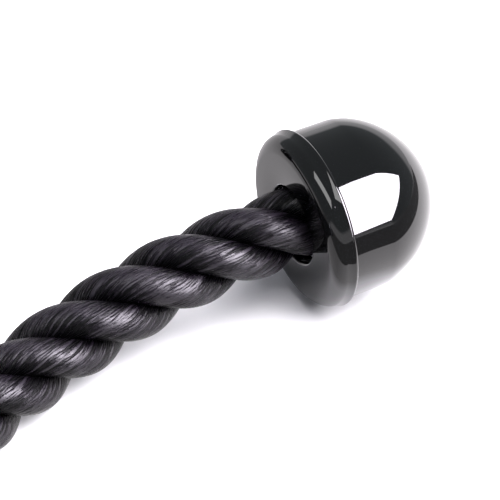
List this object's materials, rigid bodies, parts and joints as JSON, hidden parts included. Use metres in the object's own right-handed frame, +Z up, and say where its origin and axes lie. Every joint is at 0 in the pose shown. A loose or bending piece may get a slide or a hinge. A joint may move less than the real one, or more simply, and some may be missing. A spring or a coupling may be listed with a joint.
{
  "type": "triceps rope attachment",
  "caption": "Thick black laid rope folded through a welded steel ring and clamped by a pressed sleeve, with a moulded ball stopper on each leg, for a cable machine.",
  "frame": {"origin": "centre of the bottom of the part's box, on the surface that it lies on, measured without the free rope legs", "axes": "+Z up; +Y from the ring towards the balls; +X towards the right leg; the part is symmetric about X = 0"},
  "size_m": [0.3054, 0.3626, 0.07],
  "materials": {
    "rope": "glossy black nylon filament, three strands, right-hand lay",
    "ball": "glossy black moulded plastic",
    "zinc": "bright zinc plate",
    "steel": "plain pressed steel",
    "tape": "black tape"
  },
  "bodies": {
    "connector": {"sleeve": "zinc", "fold_saddle": "steel", "rope_fold": "rope", "rope_flex_right": "rope", "rope_flex_left": "rope"},
    "ring": {"ring": "zinc"},
    "leg_right": {"rope_leg_right": "rope", "rope_end_right": "rope", "end_tape_right": "tape", "end_ferrule_right": "steel", "end_washer_right": "zinc", "ball_collar_right": "ball", "ball_dome_right": "ball"},
    "leg_left": {"rope_leg_left": "rope", "rope_end_left": "rope", "end_tape_left": "tape", "end_ferrule_left": "steel", "end_washer_left": "zinc", "ball_collar_left": "ball", "ball_dome_left": "ball"}
  },
  "joints": [
    {"name": "ring_swing", "type": "hinge", "parent": "connector", "child": "ring", "pos_m": [0, -0.1467, 0.02495], "axis": [1, 0, 0], "range_deg": [-35, 150]},
    {"name": "leg_right_bend", "type": "hinge", "parent": "connector", "child": "leg_right", "pos_m": [0.0165, -0.03099, 0.0156], "axis": [0, 0, -1], "range_deg": [-12, 35], "deforming": ["rope_flex_right"]},
    {"name": "leg_left_bend", "type": "hinge", "parent": "connector", "child": "leg_left", "pos_m": [-0.0165, -0.03099, 0.0156], "axis": [0, 0, 1], "range_deg": [-12, 35], "deforming": ["rope_flex_left"]}
  ]
}
